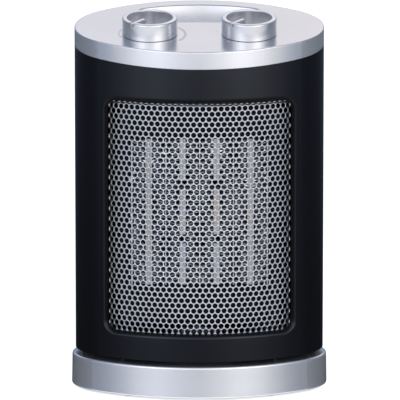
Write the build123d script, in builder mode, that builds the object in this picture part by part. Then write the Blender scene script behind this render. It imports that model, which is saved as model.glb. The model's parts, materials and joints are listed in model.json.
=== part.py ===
from build123d import *
from math import sin, cos, tan, radians, degrees, atan2, acos, pi, sqrt
import os

os.makedirs("parts", exist_ok=True)

# ------------------------------------------------------------------
# Driving dimensions, millimetres.  Front faces -Y, +Z up, origin on
# the floor under the middle of the oval foot.
# ------------------------------------------------------------------
A_BODY = 85.0          # half width of the body oval
B_BODY = 58.0          # half depth of the body oval
R_FRONT = 110.0        # radius of the front and rear arcs of the oval
FY = R_FRONT - B_BODY  # front arc centre, on +Y
WALL = 2.5             # moulded wall

BASE_A, BASE_B, BASE_RF = 87.7, 58.7, 112.0   # the foot's own oval, proud of the body
BASE_Z0 = 1.5          # lower edge of the foot
BASE_H = 22.0
BASE_Z1 = BASE_Z0 + BASE_H
BODY_Z0 = 27.0         # lower edge of the body, above an open gap

TILT = 9.9             # the top slopes down to the front
Z_TOP = 249.0          # height of the top panel on the axis
RING_H = 11.7          # height of the silver skirt
SEAM_Y = -8.0          # split between front and rear shell

WIN_X = 62.0           # grille window, half width
WIN_Z0, WIN_Z1 = 45.0, 204.0
WIN_R = 6.5            # window corner radius

R_GRILLE = 102.0       # outer radius of the perforated sheet
T_GRILLE = 0.8
PITCH_X = 4.15         # hole pitch along the row
PITCH_Z = 3.55         # row pitch
HOLE_R = 1.72
ROWS = 45
ROW_Z = 202.65         # top row
COLS = 34              # flats of the bent sheet

KNOB_X, KNOB_V = 33.6, -18.0   # knob centres on the top panel
KNOB_R, KNOB_H = 18.8, 11.5
KNOB_GAP = 0.3
POINTER = 228.6        # pointer direction at rest, degrees on the panel

PTC_Z = 126.5          # middle of the heating element
PTC_W, PTC_H = 93.0, 100.0
PTC_Y0, PTC_Y1 = -36.5, -21.5

FAN_Z = 122.5
FAN_R = 50.0

M_GEAR = 1.25          # gear module of the swivel drive
N_SECTOR, N_PINION = 48, 12
GEAR_CD = M_GEAR * (N_SECTOR + N_PINION) / 2
OSC_X = GEAR_CD

BOSS_R = 15.0          # swivel spigot on the foot
BEAR_CLR = 0.06        # radial running clearance


# ------------------------------------------------------------------
# Shared outlines
# ------------------------------------------------------------------
def oval(off, plane, a=A_BODY, b=B_BODY, r=R_FRONT):
    """Four-arc oval, off millimetres inside the outline with half axes a, b and front radius r."""
    side = (a * a + b * b - 2 * r * b) / (2 * (a - r))
    sx, fy = a - side, r - b
    rf, rs = r - off, side - off
    phi = atan2(sx, fy)
    jx, jy = rf * sin(phi), rf * cos(phi) - fy
    with BuildSketch(plane) as sk:
        with BuildLine():
            ThreePointArc((-jx, -jy), (0, fy - rf), (jx, -jy))
            ThreePointArc((jx, -jy), (sx + rs, 0), (jx, jy))
            ThreePointArc((jx, jy), (0, rf - fy), (-jx, jy))
            ThreePointArc((-jx, jy), (-sx - rs, 0), (-jx, -jy))
        make_face()
    return sk.sketch


def foot_oval(off, plane):
    """The same for the outline of the foot."""
    return oval(off, plane, BASE_A, BASE_B, BASE_RF)


def front_arc(r0, r1, half, plane):
    """Ring sector concentric with the front of the body, between radii r0 < r1."""
    a = radians(half)
    with BuildSketch(plane) as sk:
        with BuildLine():
            o = ThreePointArc((-r1 * sin(a), FY - r1 * cos(a)), (0, FY - r1), (r1 * sin(a), FY - r1 * cos(a)))
            i = ThreePointArc((-r0 * sin(a), FY - r0 * cos(a)), (0, FY - r0), (r0 * sin(a), FY - r0 * cos(a)))
            Line(o @ 0, i @ 0)
            Line(o @ 1, i @ 1)
        make_face()
    return sk.sketch


def pocket(grow, floor):
    """Hand-hold, grow millimetres outside its walls and above the floor plane.

    Arc parallel to the rear edge, straight front edge, upright walls with draft."""
    z0, draft = 222.0, 3.0
    g = grow - (257.0 - z0) * tan(radians(draft))
    r, xs, y0 = 98.5 + g, 42.0 + g, 8.3 - g
    ys = sqrt(r * r - xs * xs) - FY
    with BuildPart() as hold:
        with BuildSketch(Plane.XY.offset(z0)) as sk:
            with BuildLine():
                Polyline((-xs, ys), (-xs, y0), (xs, y0), (xs, ys))
                ThreePointArc((xs, ys), (0, r - FY), (-xs, ys))
            make_face()
            fillet(sk.vertices(), 7.0 + g)
        extrude(amount=45.0, taper=-draft)
        split(bisect_by=floor, keep=Keep.TOP)
    return hold.part


def upright(x, y, z):
    """Plane facing +Y with its origin at the given point."""
    return Plane(origin=(x, y, z), x_dir=(1, 0, 0), z_dir=(0, 1, 0))


NRM = (0, -sin(radians(TILT)), cos(radians(TILT)))
PT = Plane(origin=(0, 0, Z_TOP), x_dir=(1, 0, 0), z_dir=NRM)       # top panel
PB = Plane(origin=(0, 0, Z_TOP - RING_H), x_dir=(1, 0, 0), z_dir=NRM)  # lower edge of the skirt


def involute_teeth(n, module, first, count, thin):
    """Outline points of count teeth, 25 degree pressure angle, short addendum."""
    rp = module * n / 2
    rb = rp * cos(radians(25))
    ra, rr = rp + 0.8 * module, rp - module
    half_p = (pi * module / 2 - thin) / (2 * rp)
    inv = lambda r: tan(acos(min(1.0, rb / r))) - acos(min(1.0, rb / r))
    inv_p = inv(rp)
    r_lo = max(rb, rr)
    radii = [r_lo + (ra - r_lo) * k / 5 for k in range(6)]
    pts = []
    for t in range(count):
        c = first + t * 2 * pi / n
        left = []
        if rr < rb:
            left.append((rr, half_p + inv_p))
        left += [(r, half_p + inv_p - inv(r)) for r in radii]
        for r, h in left:
            pts.append((r * cos(c - h), r * sin(c - h)))
        for r, h in reversed(left):
            pts.append((r * cos(c + h), r * sin(c + h)))
    return pts, rr, ra


# ------------------------------------------------------------------
# Foot
# ------------------------------------------------------------------
BASE_SCREWS = [(x, y) for x in (-62, 62) for y in (-27, 27)]
FEET = [(x, y) for x in (-46, 46) for y in (-34, 34)]
TIP = (-46.0, 8.0)     # tip-over plunger

with BuildPart() as base_shell:
    extrude(foot_oval(0, Plane.XY.offset(BASE_Z0)), amount=BASE_H, taper=1.0)
    fillet(base_shell.faces().sort_by(Axis.Z)[-1].edges(), 1.5)
    fillet(base_shell.faces().sort_by(Axis.Z)[0].edges(), 1.4)
    extrude(foot_oval(2.4, Plane.XY.offset(BASE_Z0)), amount=BASE_H - 2.5, mode=Mode.SUBTRACT)
    # swivel spigot
    with BuildSketch(Plane.XY.offset(BASE_Z1 - 2.5)):
        Circle(BOSS_R)
    extrude(amount=36.4 - BASE_Z1 + 2.5)
    # screw posts for the bottom plate
    with BuildSketch(Plane.XY.offset(BASE_Z0 + 2.2)):
        with Locations(*BASE_SCREWS):
            Circle(4.0)
    extrude(amount=BASE_H - 4.0)
    # wire way
    with BuildSketch(Plane.XY.offset(BASE_Z0)):
        Circle(10.0)
    extrude(amount=40, mode=Mode.SUBTRACT)
    with BuildSketch(Plane.XY.offset(BASE_Z0)):
        with Locations(*BASE_SCREWS):
            Circle(1.3)
    extrude(amount=14, mode=Mode.SUBTRACT)
    # retainer screw pilots in the spigot, sector gear screws from below
    with BuildSketch(Plane.XY.offset(36.4)):
        with PolarLocations(12.5, 3, start_angle=90):
            Circle(1.05)
    extrude(amount=-9, mode=Mode.SUBTRACT)
    with BuildSketch(Plane.XY.offset(BASE_Z1 - 3)):
        with Locations((23.2 * cos(radians(28)), 23.2 * sin(radians(28))), (23.2 * cos(radians(28)), -23.2 * sin(radians(28)))):
            Circle(1.45)
    extrude(amount=4, mode=Mode.SUBTRACT)
    # cord inlet in the rear wall
    with BuildSketch(upright(0, 50, 12.0)):
        Circle(6.0)
    extrude(amount=15, mode=Mode.SUBTRACT)
base_shell.part.label = "base_shell"
export_step(base_shell.part, "parts/base_shell.step")

with BuildPart() as base_plate:
    extrude(foot_oval(2.7, Plane.XY.offset(BASE_Z0)), amount=2.0)
    # guide tube of the tip-over plunger
    with BuildSketch(Plane.XY.offset(BASE_Z0)):
        with Locations(TIP):
            Circle(6.2)
    extrude(amount=3.0)
    with BuildSketch(Plane.XY.offset(BASE_Z0)):
        with Locations(TIP):
            Circle(4.35)
    extrude(amount=8, mode=Mode.SUBTRACT)
    with BuildSketch(Plane.XY.offset(BASE_Z0)):
        with Locations(*BASE_SCREWS):
            Circle(1.7)
    extrude(amount=8, mode=Mode.SUBTRACT)
    with BuildSketch(Plane.XY.offset(BASE_Z0)):
        with Locations(*BASE_SCREWS):
            Circle(3.2)
    extrude(amount=1.0, mode=Mode.SUBTRACT)
    # foot seats
    with BuildSketch(Plane.XY.offset(BASE_Z0)):
        with Locations(*FEET):
            Circle(7.2)
    extrude(amount=0.8, mode=Mode.SUBTRACT)
    # cooling and stiffening slots
    with BuildSketch(Plane.XY.offset(BASE_Z0)):
        with GridLocations(34, 7, 2, 5):
            SlotOverall(26, 3.0)
    extrude(amount=3, mode=Mode.SUBTRACT)
base_plate.part.label = "base_plate"
export_step(base_plate.part, "parts/base_plate.step")

with BuildPart() as rubber_feet:
    with BuildSketch(Plane.XY):
        with Locations(*FEET):
            Circle(7.0)
    extrude(amount=BASE_Z0 + 0.8)
    fillet(rubber_feet.edges().group_by(Axis.Z)[0], 0.5)
rubber_feet.part.label = "rubber_feet"
export_step(rubber_feet.part, "parts/rubber_feet.step")

with BuildPart() as base_screws:
    for x, y in BASE_SCREWS:
        with BuildSketch(Plane.XY.offset(BASE_Z0 + 0.05)):
            with Locations((x, y)):
                Circle(2.8)
        extrude(amount=0.95)
        with BuildSketch(Plane.XY.offset(BASE_Z0 + 1.0)):
            with Locations((x, y)):
                Circle(1.25)
        extrude(amount=10)
    for x, y in BASE_SCREWS:
        with BuildSketch(Plane.XY.offset(BASE_Z0 + 0.05)):
            with Locations((x, y)):
                Rectangle(3.4, 0.6)
                Rectangle(0.6, 3.4)
        extrude(amount=0.5, mode=Mode.SUBTRACT)
base_screws.part.label = "base_screws"
export_step(base_screws.part, "parts/base_screws.step")

with BuildPart() as cord_inlet:
    with BuildSketch(upright(0, 54.6, 12.0)):
        Circle(5.9)
    extrude(amount=3.9)
    with BuildSketch(upright(0, 53.2, 12.0)):
        Circle(8.0)
    extrude(amount=1.6)
    with BuildSketch(upright(0, 50, 12.0)):
        Circle(3.4)
    extrude(amount=15, mode=Mode.SUBTRACT)
    fillet(cord_inlet.edges().group_by(Axis.Y)[-1], 0.4)
cord_inlet.part.label = "cord_inlet"
export_step(cord_inlet.part, "parts/cord_inlet.step")

with BuildPart() as tip_switch:
    with BuildSketch(Plane.XY.offset(13.6)):
        with Locations(TIP):
            RectangleRounded(20, 10, 1.0)
    extrude(amount=7.2)
    with BuildSketch(Plane.XY.offset(15.0)):
        with Locations((TIP[0] - 12, TIP[1]), (TIP[0] + 12, TIP[1])):
            Rectangle(5, 3)
    extrude(amount=0.8)
tip_switch.part.label = "tip_switch"
export_step(tip_switch.part, "parts/tip_switch.step")

with BuildPart() as tip_plunger:
    with BuildSketch(Plane.XY):
        with Locations(TIP):
            Circle(4.0)
    extrude(amount=8.6)
    with BuildSketch(Plane.XY.offset(8.6)):
        with Locations(TIP):
            Circle(5.4)
    extrude(amount=1.0)
    with BuildSketch(Plane.XY.offset(9.6)):
        with Locations(TIP):
            Circle(1.4)
    extrude(amount=3.7)
    fillet(tip_plunger.edges().group_by(Axis.Z)[0], 0.8)
tip_plunger.part.label = "tip_plunger"
export_step(tip_plunger.part, "parts/tip_plunger.step")

with BuildPart() as tip_spring:
    with BuildLine(Plane(origin=(TIP[0], TIP[1], 10.05), z_dir=(0, 0, 1))) as coil_path:
        Helix(pitch=0.9, height=3.15, radius=2.6)
    with BuildSketch(Plane(origin=coil_path.line @ 0, z_dir=coil_path.line % 0)):
        Circle(0.25)
    sweep(path=coil_path.line, is_frenet=True)
tip_spring.part.label = "tip_spring"
export_step(tip_spring.part, "parts/tip_spring.step")

# ------------------------------------------------------------------
# Swivel between foot and body
# ------------------------------------------------------------------
with BuildPart() as glide_ring:
    with BuildSketch(Plane.XY.offset(BASE_Z1)):
        Circle(51.5)
        Circle(47.0, mode=Mode.SUBTRACT)
    extrude(amount=3.7)
glide_ring.part.label = "glide_ring"
export_step(glide_ring.part, "parts/glide_ring.step")

with BuildPart() as sector_gear:
    pts, rr, ra = involute_teeth(N_SECTOR, M_GEAR, -41.25 * pi / 180, 12, 0.22)
    end = radians(45.5)
    with BuildSketch(Plane.XY.offset(BASE_Z1)):
        with BuildLine():
            Polyline((rr * cos(-end), rr * sin(-end)), *pts, (rr * cos(end), rr * sin(end)),
                     (19.0 * cos(end), 19.0 * sin(end)))
            ThreePointArc((19.0 * cos(end), 19.0 * sin(end)), (19.0, 0), (19.0 * cos(end), -19.0 * sin(end)))
            Line((19.0 * cos(end), -19.0 * sin(end)), (rr * cos(-end), rr * sin(-end)))
        make_face()
    extrude(amount=3.4)
    with BuildSketch(Plane.XY.offset(BASE_Z1)):
        with Locations((23.2 * cos(radians(28)), 23.2 * sin(radians(28))), (23.2 * cos(radians(28)), -23.2 * sin(radians(28)))):
            Circle(1.05)
    extrude(amount=2.8, mode=Mode.SUBTRACT)
sector_gear.part.label = "sector_gear"
export_step(sector_gear.part, "parts/sector_gear.step")

with BuildPart() as gear_screws:
    for s in (-1, 1):
        with BuildSketch(Plane.XY.offset(BASE_Z1 - 2.5 - 1.4)):
            with Locations((23.2 * cos(radians(28)), s * 23.2 * sin(radians(28)))):
                Circle(2.2)
        extrude(amount=1.4)
        with BuildSketch(Plane.XY.offset(BASE_Z1 - 2.5)):
            with Locations((23.2 * cos(radians(28)), s * 23.2 * sin(radians(28)))):
                Circle(1.0)
        extrude(amount=5.0)
gear_screws.part.label = "gear_screws"
export_step(gear_screws.part, "parts/gear_screws.step")

with BuildPart() as retaining_ring:
    with BuildSketch(Plane.XY.offset(36.4)):
        Circle(20.0)
        Circle(10.5, mode=Mode.SUBTRACT)
        with PolarLocations(12.5, 3, start_angle=90):
            Circle(1.2, mode=Mode.SUBTRACT)
    extrude(amount=1.6)
retaining_ring.part.label = "retaining_ring"
export_step(retaining_ring.part, "parts/retaining_ring.step")

with BuildPart() as retainer_screws:
    with BuildSketch(Plane.XY.offset(38.0)):
        with PolarLocations(12.5, 3, start_angle=90):
            Circle(1.95)
    extrude(amount=1.5)
    with BuildSketch(Plane.XY.offset(38.0)):
        with PolarLocations(12.5, 3, start_angle=90):
            Circle(1.0)
    extrude(amount=-9)
retainer_screws.part.label = "retainer_screws"
export_step(retainer_screws.part, "parts/retainer_screws.step")

BOTTOM_SCREWS = [(x, y) for x in (-76.8, 76.8) for y in (-13, 13)]
OSC_MC = OSC_X + 10.0   # the gear motor's can is offset from its output shaft
with BuildPart() as bottom_plate:
    extrude(oval(WALL + 0.3, Plane.XY.offset(BODY_Z0 + 0.5)), amount=2.5)
    with BuildSketch(Plane.XY.offset(BODY_Z0 + 0.5)):
        Circle(18.0)
    extrude(amount=8.5)
    with BuildSketch(Plane.XY.offset(BODY_Z0)):
        Circle(BOSS_R + BEAR_CLR)
    extrude(amount=12, mode=Mode.SUBTRACT)
    with BuildSketch(Plane.XY.offset(BODY_Z0)):
        with Locations((OSC_X, 0)):
            Circle(2.5 + BEAR_CLR)
        with Locations(*BOTTOM_SCREWS):
            Circle(1.7)
        with Locations((OSC_MC, 28.0), (OSC_MC, -28.0)):
            Circle(1.3)
    extrude(amount=5, mode=Mode.SUBTRACT)
bottom_plate.part.label = "bottom_plate"
export_step(bottom_plate.part, "parts/bottom_plate.step")

# rubber strips under the plate that close the view through the swivel gap
with BuildPart() as gap_seal:
    with BuildSketch(Plane.XY.offset(24.4)):
        with Locations((-66.75, 5.0), (66.75, 5.0)):
            Rectangle(27.0, 2.0)
    extrude(amount=BODY_Z0 + 0.5 - 24.4)
gap_seal.part.label = "gap_seal"
export_step(gap_seal.part, "parts/gap_seal.step")

with BuildPart() as osc_motor:
    with BuildSketch(Plane.XY.offset(30.1)):
        with Locations((OSC_MC, 0)):
            Circle(24.0)
    extrude(amount=17.5)
    fillet(osc_motor.edges().group_by(Axis.Z)[-1], 1.2)
    with BuildSketch(Plane.XY.offset(30.1)):
        with Locations((OSC_MC, 0)):
            SlotOverall(64, 8, rotation=90)
    extrude(amount=1.2)
    with BuildSketch(Plane.XY.offset(30.0)):
        with Locations((OSC_X, 0)):
            Circle(2.5 + BEAR_CLR)
    extrude(amount=8.5, mode=Mode.SUBTRACT)
    with BuildSketch(Plane.XY.offset(30.0)):
        with Locations((OSC_MC, 28.0), (OSC_MC, -28.0)):
            Circle(1.7)
    extrude(amount=3, mode=Mode.SUBTRACT)
osc_motor.part.label = "osc_motor"
export_step(osc_motor.part, "parts/osc_motor.step")

with BuildPart() as osc_motor_screws:
    for s in (-1, 1):
        with BuildSketch(Plane.XY.offset(31.3)):
            with Locations((OSC_MC, s * 28.0)):
                Circle(2.6)
        extrude(amount=1.8)
        with BuildSketch(Plane.XY.offset(31.3)):
            with Locations((OSC_MC, s * 28.0)):
                Circle(1.25)
        extrude(amount=-3.6)
osc_motor_screws.part.label = "osc_motor_screws"
export_step(osc_motor_screws.part, "parts/osc_motor_screws.step")

with BuildPart() as osc_shaft:
    with BuildSketch(Plane.XY.offset(24.0)):
        with Locations((OSC_X, 0)):
            Circle(2.5)
    extrude(amount=14.0)
osc_shaft.part.label = "osc_shaft"
export_step(osc_shaft.part, "parts/osc_shaft.step")

with BuildPart() as osc_pinion:
    pts, rr, ra = involute_teeth(N_PINION, M_GEAR, pi, N_PINION, 0.22)
    with BuildSketch(Plane.XY.offset(24.0)):
        with BuildLine():
            Polyline(*[(OSC_X + p[0], p[1]) for p in pts], close=True)
        make_face()
        with Locations((OSC_X, 0)):
            Circle(2.52, mode=Mode.SUBTRACT)
    extrude(amount=2.9)
osc_pinion.part.label = "osc_pinion"
export_step(osc_pinion.part, "parts/osc_pinion.step")

# ------------------------------------------------------------------
# Body shells
# ------------------------------------------------------------------
SHELL_SCREWS = [(x, z) for x in (-70.0, 70.0) for z in (56.0, 214.0)]
CUT_PLANE = PB.offset(-0.25)

with BuildPart() as front_shell:
    extrude(oval(0, Plane.XY.offset(BODY_Z0)), amount=230)
    extrude(oval(WALL, Plane.XY.offset(BODY_Z0)), amount=230, mode=Mode.SUBTRACT)
    # deep surround of the grille window
    extrude(front_arc(103.0, R_FRONT - 1.0, 39.6, Plane.XY.offset(WIN_Z0 - 6)), amount=WIN_Z1 - WIN_Z0 + 12)
    # window
    with BuildSketch(upright(0, -80, (WIN_Z0 + WIN_Z1) / 2)):
        RectangleRounded(2 * WIN_X, WIN_Z1 - WIN_Z0, WIN_R)
    extrude(amount=75, mode=Mode.SUBTRACT)
    split(bisect_by=Plane(origin=(0, SEAM_Y - 0.15, 0), x_dir=(1, 0, 0), z_dir=(0, 1, 0)), keep=Keep.BOTTOM)
    # screw posts
    for x, z in SHELL_SCREWS:
        with BuildSketch(upright(x, SEAM_Y - 0.15, z)):
            Circle(4.0)
        extrude(amount=-27)
    for x, y in BOTTOM_SCREWS:
        if y < 0:
            with BuildSketch(Plane.XY.offset(30.3)):
                with Locations((x, y)):
                    Circle(4.0)
            extrude(amount=12)
    split(bisect_by=CUT_PLANE, keep=Keep.BOTTOM)
    # posts stay inside the outer skin
    extrude(oval(0, Plane.XY.offset(BODY_Z0)), amount=260, mode=Mode.INTERSECT)
    for x, z in SHELL_SCREWS:
        with BuildSketch(upright(x, SEAM_Y - 0.15, z)):
            Circle(1.3)
        extrude(amount=-13, mode=Mode.SUBTRACT)
    for x, y in BOTTOM_SCREWS:
        if y < 0:
            with BuildSketch(Plane.XY.offset(30.3)):
                with Locations((x, y)):
                    Circle(1.3)
            extrude(amount=9, mode=Mode.SUBTRACT)
    # rounded lip round the window
    lip = [e for e in front_shell.edges()
           if abs(sqrt(e.center().X ** 2 + (e.center().Y - FY) ** 2) - R_FRONT) < 2.5
           and abs(e.center().X) < WIN_X + 0.5 and WIN_Z0 - 0.5 < e.center().Z < WIN_Z1 + 0.5
           and e.center().Y < SEAM_Y - 12
           and all(abs(sqrt(v.X ** 2 + (v.Y - FY) ** 2) - R_FRONT) < 0.05 for v in e.vertices())]
    fillet(lip, 2.2)
front_shell.part.label = "front_shell"
export_step(front_shell.part, "parts/front_shell.step")

with BuildPart() as rear_shell:
    extrude(oval(0, Plane.XY.offset(BODY_Z0)), amount=230)
    extrude(oval(WALL, Plane.XY.offset(BODY_Z0)), amount=230, mode=Mode.SUBTRACT)
    split(bisect_by=Plane(origin=(0, SEAM_Y + 0.15, 0), x_dir=(1, 0, 0), z_dir=(0, 1, 0)), keep=Keep.TOP)
    # screw tubes
    for x, z in SHELL_SCREWS:
        with BuildSketch(upright(x, SEAM_Y + 0.15, z)):
            Circle(4.4)
        extrude(amount=45)
    for x, y in BOTTOM_SCREWS:
        if y > 0:
            with BuildSketch(Plane.XY.offset(30.3)):
                with Locations((x, y)):
                    Circle(4.0)
            extrude(amount=12)
    split(bisect_by=CUT_PLANE, keep=Keep.BOTTOM)
    extrude(oval(0, Plane.XY.offset(BODY_Z0)), amount=260, mode=Mode.INTERSECT)
    for x, z in SHELL_SCREWS:
        with BuildSketch(upright(x, SEAM_Y - 1, z)):
            Circle(1.7)
        extrude(amount=20, mode=Mode.SUBTRACT)
        with BuildSketch(upright(x, 4.0, z)):
            Circle(3.3)
        extrude(amount=60, mode=Mode.SUBTRACT)
    for x, y in BOTTOM_SCREWS:
        if y > 0:
            with BuildSketch(Plane.XY.offset(30.3)):
                with Locations((x, y)):
                    Circle(1.3)
            extrude(amount=9, mode=Mode.SUBTRACT)
    # air intake
    with BuildSketch(upright(0, 30, FAN_Z)):
        with GridLocations(52, 6.0, 2, 17):
            SlotOverall(47, 3.5)
    extrude(amount=35, mode=Mode.SUBTRACT)
rear_shell.part.label = "rear_shell"
export_step(rear_shell.part, "parts/rear_shell.step")

with BuildPart() as shell_screws:
    for x, z in SHELL_SCREWS:
        with BuildSketch(upright(x, 4.05, z)):
            Circle(2.9)
        extrude(amount=2.0)
        with BuildSketch(upright(x, 4.05, z)):
            Circle(1.25)
        extrude(amount=-22)
    for x, z in SHELL_SCREWS:
        with BuildSketch(upright(x, 6.05, z)):
            Rectangle(3.6, 0.7)
            Rectangle(0.7, 3.6)
        extrude(amount=-0.9, mode=Mode.SUBTRACT)
shell_screws.part.label = "shell_screws"
export_step(shell_screws.part, "parts/shell_screws.step")

with BuildPart() as bottom_screws:
    for x, y in BOTTOM_SCREWS:
        with BuildSketch(Plane.XY.offset(BODY_Z0 + 0.45)):
            with Locations((x, y)):
                Circle(2.7)
        extrude(amount=-1.2)
        with BuildSketch(Plane.XY.offset(BODY_Z0 + 0.45)):
            with Locations((x, y)):
                Circle(1.25)
        extrude(amount=10.5)
bottom_screws.part.label = "bottom_screws"
export_step(bottom_screws.part, "parts/bottom_screws.step")

# ------------------------------------------------------------------
# Top cover: sloping cap, skirt, locating lip and hand-hold pocket
# ------------------------------------------------------------------
POCKET_D = 22.0

with BuildPart() as cap_core:
    extrude(oval(2.7, Plane.XY.offset(180)), amount=110)
    split(bisect_by=PT.offset(-2.5), keep=Keep.BOTTOM)

with BuildPart() as cap_lip:
    extrude(oval(2.75, Plane.XY.offset(180)), amount=110)
    extrude(oval(4.2, Plane.XY.offset(180)), amount=110, mode=Mode.SUBTRACT)
    split(bisect_by=PT.offset(-2.0), keep=Keep.BOTTOM)
    split(bisect_by=PB.offset(-5.0), keep=Keep.TOP)

with BuildPart() as cap_tub:
    add(pocket(2.2, PT.offset(-POCKET_D - 2.0)))
    split(bisect_by=PT.offset(-2.0), keep=Keep.BOTTOM)

with BuildPart() as top_cover:
    extrude(oval(0, Plane.XY.offset(180)), amount=110)
    split(bisect_by=PT, keep=Keep.BOTTOM)
    split(bisect_by=PB, keep=Keep.TOP)
    fillet(top_cover.faces().sort_by(Axis((0, 0, 0), NRM))[-1].edges(), 0.9)
    add(cap_core.part, mode=Mode.SUBTRACT)
    add(cap_lip.part)
    add(cap_tub.part)
    # posts for the two controls
    with BuildSketch(PT.offset(-6.0)):
        for s in (-1, 1):
            with Locations((s * KNOB_X - 14, KNOB_V), (s * KNOB_X + 14, KNOB_V)):
                Circle(3.2)
    extrude(amount=4.5)
    add(pocket(0, PT.offset(-POCKET_D)), mode=Mode.SUBTRACT)
    with BuildSketch(PT.offset(-10)):
        with Locations((-KNOB_X, KNOB_V), (KNOB_X, KNOB_V)):
            Circle(5.5)
    extrude(amount=12, mode=Mode.SUBTRACT)
    with BuildSketch(PT.offset(-6.0)):
        for s in (-1, 1):
            with Locations((s * KNOB_X - 14, KNOB_V), (s * KNOB_X + 14, KNOB_V)):
                Circle(1.05)
    extrude(amount=4.5, mode=Mode.SUBTRACT)
    # eased mouth of the pocket
    def on_panel(p):
        q = PT.to_local_coords(Vector(p))
        return abs(q.Z) < 0.02 and abs(q.X) < 49 and 5 < q.Y < 49
    mouth = [e for e in top_cover.edges() if on_panel(e.center()) and all(on_panel(v.center()) for v in e.vertices())]
    fillet(mouth, 1.5)
top_cover.part.label = "top_cover"
export_step(top_cover.part, "parts/top_cover.step")

# ------------------------------------------------------------------
# Controls
# ------------------------------------------------------------------
def make_knob(sx):
    c = (sx * KNOB_X, KNOB_V)
    d = (cos(radians(POINTER)), sin(radians(POINTER)))
    with BuildPart() as knob:
        with BuildSketch(PT.offset(KNOB_GAP)):
            with Locations(c):
                Circle(KNOB_R)
        extrude(amount=KNOB_H, taper=0.8)
        fillet(knob.faces().sort_by(Axis((0, 0, 0), NRM))[-1].edges(), 1.2)
        # cup
        with BuildSketch(PT.offset(KNOB_GAP + 1.6)):
            with Locations(c):
                Circle(15.4)
        extrude(amount=KNOB_H, mode=Mode.SUBTRACT)
        inner = [e for e in knob.edges().filter_by(GeomType.CIRCLE) if abs(e.radius - 15.4) < 0.01]
        fillet(max(inner, key=lambda e: e.arc_center.Z), 0.5)
        # notch in the rim and the pointer rib that runs through it
        with BuildSketch(PT.offset(KNOB_GAP + KNOB_H - 2.2)):
            with Locations((c[0] + 17.5 * d[0], c[1] + 17.5 * d[1])):
                Rectangle(7.0, 4.0, rotation=POINTER)
        extrude(amount=4.0, mode=Mode.SUBTRACT)
        at = lambda r, h: (r * d[0] + c[0], r * d[1] + c[1], KNOB_GAP + h)
        rib = Plane(origin=PT.from_local_coords(Vector(*at(0, 0))),
                    x_dir=PT.x_dir * d[0] + PT.y_dir * d[1],
                    z_dir=(PT.x_dir * d[0] + PT.y_dir * d[1]).cross(PT.z_dir))
        with BuildSketch(rib):
            Polygon((5.2, 1.2), (18.3, 1.2), (18.75, KNOB_H - 3.6), (18.75, KNOB_H - 0.7),
                    (18.2, KNOB_H - 0.25), (5.8, KNOB_H + 0.25), (5.2, KNOB_H - 0.3), align=None)
        extrude(amount=1.1, both=True)
        # hub for the shaft
        with BuildSketch(PT.offset(-4.5)):
            with Locations(c):
                Circle(5.0)
        extrude(amount=4.5 + KNOB_GAP + 1.0)
        with BuildSketch(PT.offset(-4.5)):
            with Locations(c):
                Circle(3.02)
        extrude(amount=5.4, mode=Mode.SUBTRACT)
    return knob.part


thermostat_knob = make_knob(-1)
thermostat_knob.label = "thermostat_knob"
export_step(thermostat_knob, "parts/thermostat_knob.step")
mode_knob = make_knob(1)
mode_knob.label = "mode_knob"
export_step(mode_knob, "parts/mode_knob.step")


def make_shaft(sx):
    with BuildPart() as shaft:
        with BuildSketch(PT.offset(-20.0)):
            with Locations((sx * KNOB_X, KNOB_V)):
                Circle(3.0)
        extrude(amount=20.8)
        chamfer(shaft.faces().sort_by(Axis((0, 0, 0), NRM))[-1].edges(), 0.5)
    return shaft.part


thermostat_shaft = make_shaft(-1)
thermostat_shaft.label = "thermostat_shaft"
export_step(thermostat_shaft, "parts/thermostat_shaft.step")
mode_shaft = make_shaft(1)
mode_shaft.label = "mode_shaft"
export_step(mode_shaft, "parts/mode_shaft.step")

with BuildPart() as thermostat_body:
    c = (-KNOB_X, KNOB_V)
    with BuildSketch(PT.offset(-7.6)):
        with Locations(c):
            RectangleRounded(36, 14, 3)
    extrude(amount=1.5)
    with BuildSketch(PT.offset(-24.0)):
        with Locations(c):
            RectangleRounded(20, 26, 1.5)
    extrude(amount=16.4)
    # contact arms
    with BuildSketch(PT.offset(-21.0)):
        with Locations((c[0], c[1] + 16.5)):
            Rectangle(6, 9)
    extrude(amount=0.8)
    with BuildSketch(PT.offset(-16.0)):
        with Locations((c[0], c[1] + 16.5)):
            Rectangle(6, 9)
    extrude(amount=0.8)
    with BuildSketch(PT.offset(-25.0)):
        with Locations(c):
            Circle(3.0 + BEAR_CLR)
    extrude(amount=20, mode=Mode.SUBTRACT)
    with BuildSketch(PT.offset(-8)):
        with Locations((c[0] - 14, c[1]), (c[0] + 14, c[1])):
            Circle(1.5)
    extrude(amount=3, mode=Mode.SUBTRACT)
thermostat_body.part.label = "thermostat_body"
export_step(thermostat_body.part, "parts/thermostat_body.step")

with BuildPart() as mode_switch_body:
    c = (KNOB_X, KNOB_V)
    with BuildSketch(PT.offset(-7.6)):
        with Locations(c):
            RectangleRounded(36, 14, 3)
    extrude(amount=1.5)
    with BuildSketch(PT.offset(-24.0)):
        with Locations(c):
            RectangleRounded(22, 28, 2)
    extrude(amount=16.4)
    with BuildSketch(PT.offset(-30.0)):
        with Locations(c):
            with PolarLocations(8.0, 5, start_angle=20):
                Rectangle(4.0, 0.8)
    extrude(amount=6.5)
    with BuildSketch(PT.offset(-21.5)):
        with Locations(c):
            Circle(3.0 + BEAR_CLR)
    extrude(amount=20, mode=Mode.SUBTRACT)
    with BuildSketch(PT.offset(-8)):
        with Locations((c[0] - 14, c[1]), (c[0] + 14, c[1])):
            Circle(1.5)
    extrude(amount=3, mode=Mode.SUBTRACT)
mode_switch_body.part.label = "mode_switch_body"
export_step(mode_switch_body.part, "parts/mode_switch_body.step")

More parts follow.
